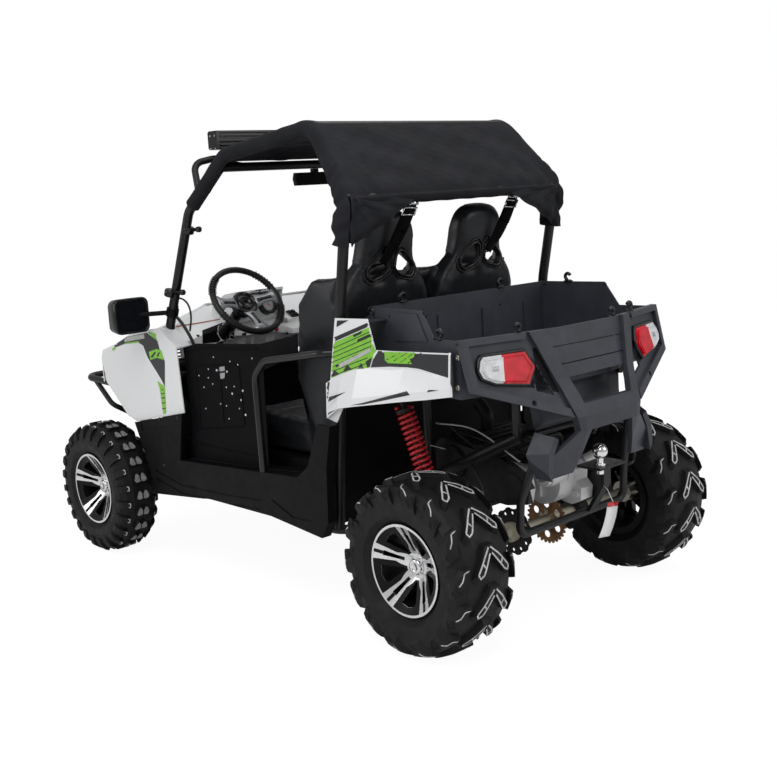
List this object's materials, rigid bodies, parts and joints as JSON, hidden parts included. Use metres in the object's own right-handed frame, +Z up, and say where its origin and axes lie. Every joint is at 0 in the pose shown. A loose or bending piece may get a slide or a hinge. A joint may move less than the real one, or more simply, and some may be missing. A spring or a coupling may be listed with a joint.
{
  "type": "side by side utility vehicle",
  "caption": "Compact side by side utility vehicle with bucket seats, tube cage, fabric canopy, cargo bed, steered front wheels and a live rear axle.",
  "frame": {"origin": "on the ground, at the centre of the vehicle's outer box seen from above", "axes": "+Z up, -Y towards the front of the vehicle, +X towards its left side"},
  "size_m": [1.412, 2.51, 1.652],
  "materials": {
    "frame_black": "satin",
    "body_white": "gloss",
    "panel_grey": "textured",
    "tub_black": "textured",
    "seat_black": "semi-gloss vinyl",
    "canopy_fabric": "woven",
    "belt_fabric": "webbing",
    "rubber_tyre": "matt",
    "rim_alloy": "machined and black",
    "engine_alloy": "cast",
    "steel_bare": "bare",
    "spring_red": "gloss",
    "lamp_clear": "clear",
    "lamp_red": "gloss",
    "light_bar_black": "satin",
    "grip_rubber": "matt"
  },
  "bodies": {
    "chassis": {"canopy": "canopy_fabric", "cargo_bed": "panel_grey", "dampers": "frame_black", "dash": "body_white", "engine": "engine_alloy", "exhaust": "frame_black", "floor_tub": "tub_black", "front_arms": "frame_black", "front_bumper": "frame_black", "front_fender_left": "body_white", "front_fender_right": "body_white", "front_grille": "tub_black", "gauge_pods": "tub_black", "headlights": "lamp_clear", "hip_bars": "frame_black", "hood": "body_white", "light_bar": "light_bar_black", "lower_frame": "frame_black", "mirrors": "tub_black", "rear_fascia": "panel_grey", "rear_guard": "frame_black", "rear_panel_left": "body_white", "rear_panel_right": "body_white", "roll_cage": "frame_black", "seat_belts": "belt_fabric", "seat_left": "seat_black", "seat_right": "seat_black", "side_nets": "belt_fabric", "side_sills": "tub_black", "springs": "spring_red", "steering_gear": "frame_black", "swing_arm": "frame_black", "tail_lights": "lamp_red"},
    "steering_wheel": {"steering_wheel": "grip_rubber"},
    "steering_rack": {"steering_rack": "steel_bare"},
    "knuckle_left": {"knuckle_left": "frame_black"},
    "knuckle_right": {"knuckle_right": "frame_black"},
    "wheel_front_left": {"tyre_front_left": "rubber_tyre", "rim_front_left": "rim_alloy"},
    "wheel_front_right": {"tyre_front_right": "rubber_tyre", "rim_front_right": "rim_alloy"},
    "rear_axle": {"rear_axle": "steel_bare", "tyre_rear_left": "rubber_tyre", "tyre_rear_right": "rubber_tyre", "rim_rear_left": "rim_alloy", "rim_rear_right": "rim_alloy"}
  },
  "joints": [
    {"name": "steering", "type": "hinge", "parent": "chassis", "child": "steering_wheel", "pos_m": [0.28, -0.226, 1.019], "axis": [0, 0.7912, 0.6115], "range_deg": [-270, 270]},
    {"name": "rack_slide", "type": "slide", "parent": "chassis", "child": "steering_rack", "axis": [1, 0, 0], "range_m": [-0.0424, 0.0424]},
    {"name": "steer_left", "type": "hinge", "parent": "chassis", "child": "knuckle_left", "pos_m": [0.498, -0.863, 0.2665], "axis": [0, 0, 1], "range_deg": [-25, 25]},
    {"name": "steer_right", "type": "hinge", "parent": "chassis", "child": "knuckle_right", "pos_m": [-0.498, -0.863, 0.2665], "axis": [0, 0, 1], "range_deg": [-25, 25]},
    {"name": "spin_front_left", "type": "hinge", "parent": "knuckle_left", "child": "wheel_front_left", "pos_m": [0.589, -0.863, 0.2665], "axis": [1, 0, 0], "continuous": true},
    {"name": "spin_front_right", "type": "hinge", "parent": "knuckle_right", "child": "wheel_front_right", "pos_m": [-0.589, -0.863, 0.2665], "axis": [1, 0, 0], "continuous": true},
    {"name": "spin_rear", "type": "hinge", "parent": "chassis", "child": "rear_axle", "pos_m": [0, 0.933, 0.2795], "axis": [1, 0, 0], "continuous": true}
  ],
  "couplings": [
    {"joint": "rack_slide", "follows": "steering", "m_per_rad": -0.00898},
    {"joint": "steer_left", "follows": "steering", "ratio": 0.0925},
    {"joint": "steer_right", "follows": "steering", "ratio": 0.0925}
  ]
}
